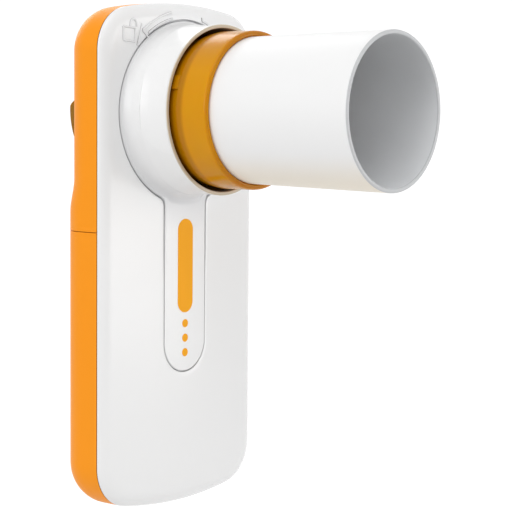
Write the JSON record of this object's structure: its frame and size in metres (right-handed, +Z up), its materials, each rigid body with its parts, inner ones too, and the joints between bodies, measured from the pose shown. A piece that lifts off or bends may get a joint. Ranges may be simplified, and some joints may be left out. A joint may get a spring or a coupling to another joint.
{
  "type": "peak flow meter",
  "caption": "Hand-held electronic peak flow meter: slim two-tone body, plug-in amber turbine in a flared neck, round white mouthpiece and sliding battery door.",
  "frame": {"origin": "middle of the flat back of the battery door, at half the body's height", "axes": "+Z up along the body's height, -Y out of the front along the mouthpiece, +Y out of the flat back, +X to the right as seen from the front"},
  "size_m": [0.0497, 0.0756, 0.109],
  "materials": {
    "white_gloss": "soft gloss, moulded",
    "white_satin": "satin, extruded tube",
    "orange_shell": "smooth, fine sheen",
    "orange_print": "printed film",
    "amber_clear": "translucent amber, polished",
    "grey_tray": "fine matt",
    "black_plastic": "matt, light-tight",
    "cell_jacket": "printed jacket over a can",
    "spring_steel": "nickel plated",
    "screw_steel": "zinc plated",
    "axle_steel": "polished",
    "bearing_brass": "turned",
    "board_green": "solder mask",
    "radio_can": "tinned shield can",
    "clear_plastic": "clear",
    "rotor_dark": "thin dark film",
    "infrared_dark": "dark epoxy"
  },
  "bodies": {
    "case": {"front_shell": "white_gloss", "neck_bezel": "white_gloss", "accent_label": "orange_print", "rear_shell": "orange_shell", "battery_tray": "grey_tray", "battery_cells": "cell_jacket", "contact_springs": "spring_steel", "contact_plates": "spring_steel", "bridge_plate": "spring_steel", "case_screws": "screw_steel", "main_board": "board_green", "board_chips": "black_plastic", "radio_module": "radio_can", "infrared_emitters": "infrared_dark", "infrared_receivers": "infrared_dark", "sensor_collar": "black_plastic", "power_switch": "black_plastic", "status_led": "clear_plastic", "light_pipe": "clear_plastic"},
    "door": {"battery_door": "orange_shell"},
    "button": {"power_button": "orange_shell"},
    "turbine": {"turbine_housing": "amber_clear", "front_swirler": "amber_clear", "rear_swirler": "amber_clear", "front_bearing": "bearing_brass", "rear_bearing": "bearing_brass"},
    "rotor": {"rotor_axle": "axle_steel", "rotor_vane": "rotor_dark"},
    "mouth_tube": {"mouthpiece": "white_satin"}
  },
  "joints": [
    {"name": "turbine_twist", "type": "hinge", "parent": "case", "child": "turbine", "pos_m": [0, -0.0126, 0.0316], "axis": [0, -1, 0], "range_deg": [0, 30]},
    {"name": "rotor_spin", "type": "hinge", "parent": "turbine", "child": "rotor", "pos_m": [0, -0.0074, 0.0316], "axis": [0, 1, 0], "continuous": true},
    {"name": "mouthpiece_pull", "type": "slide", "parent": "turbine", "child": "mouth_tube", "axis": [0, -1, 0], "range_m": [0, 0.0105]},
    {"name": "door_slide", "type": "slide", "parent": "case", "child": "door", "axis": [0, 0, -1], "range_m": [0, 0.0615]},
    {"name": "button_press", "type": "slide", "parent": "case", "child": "button", "axis": [-1, 0, 0], "range_m": [0, 0.0006], "stiffness_N_per_m": 800}
  ]
}
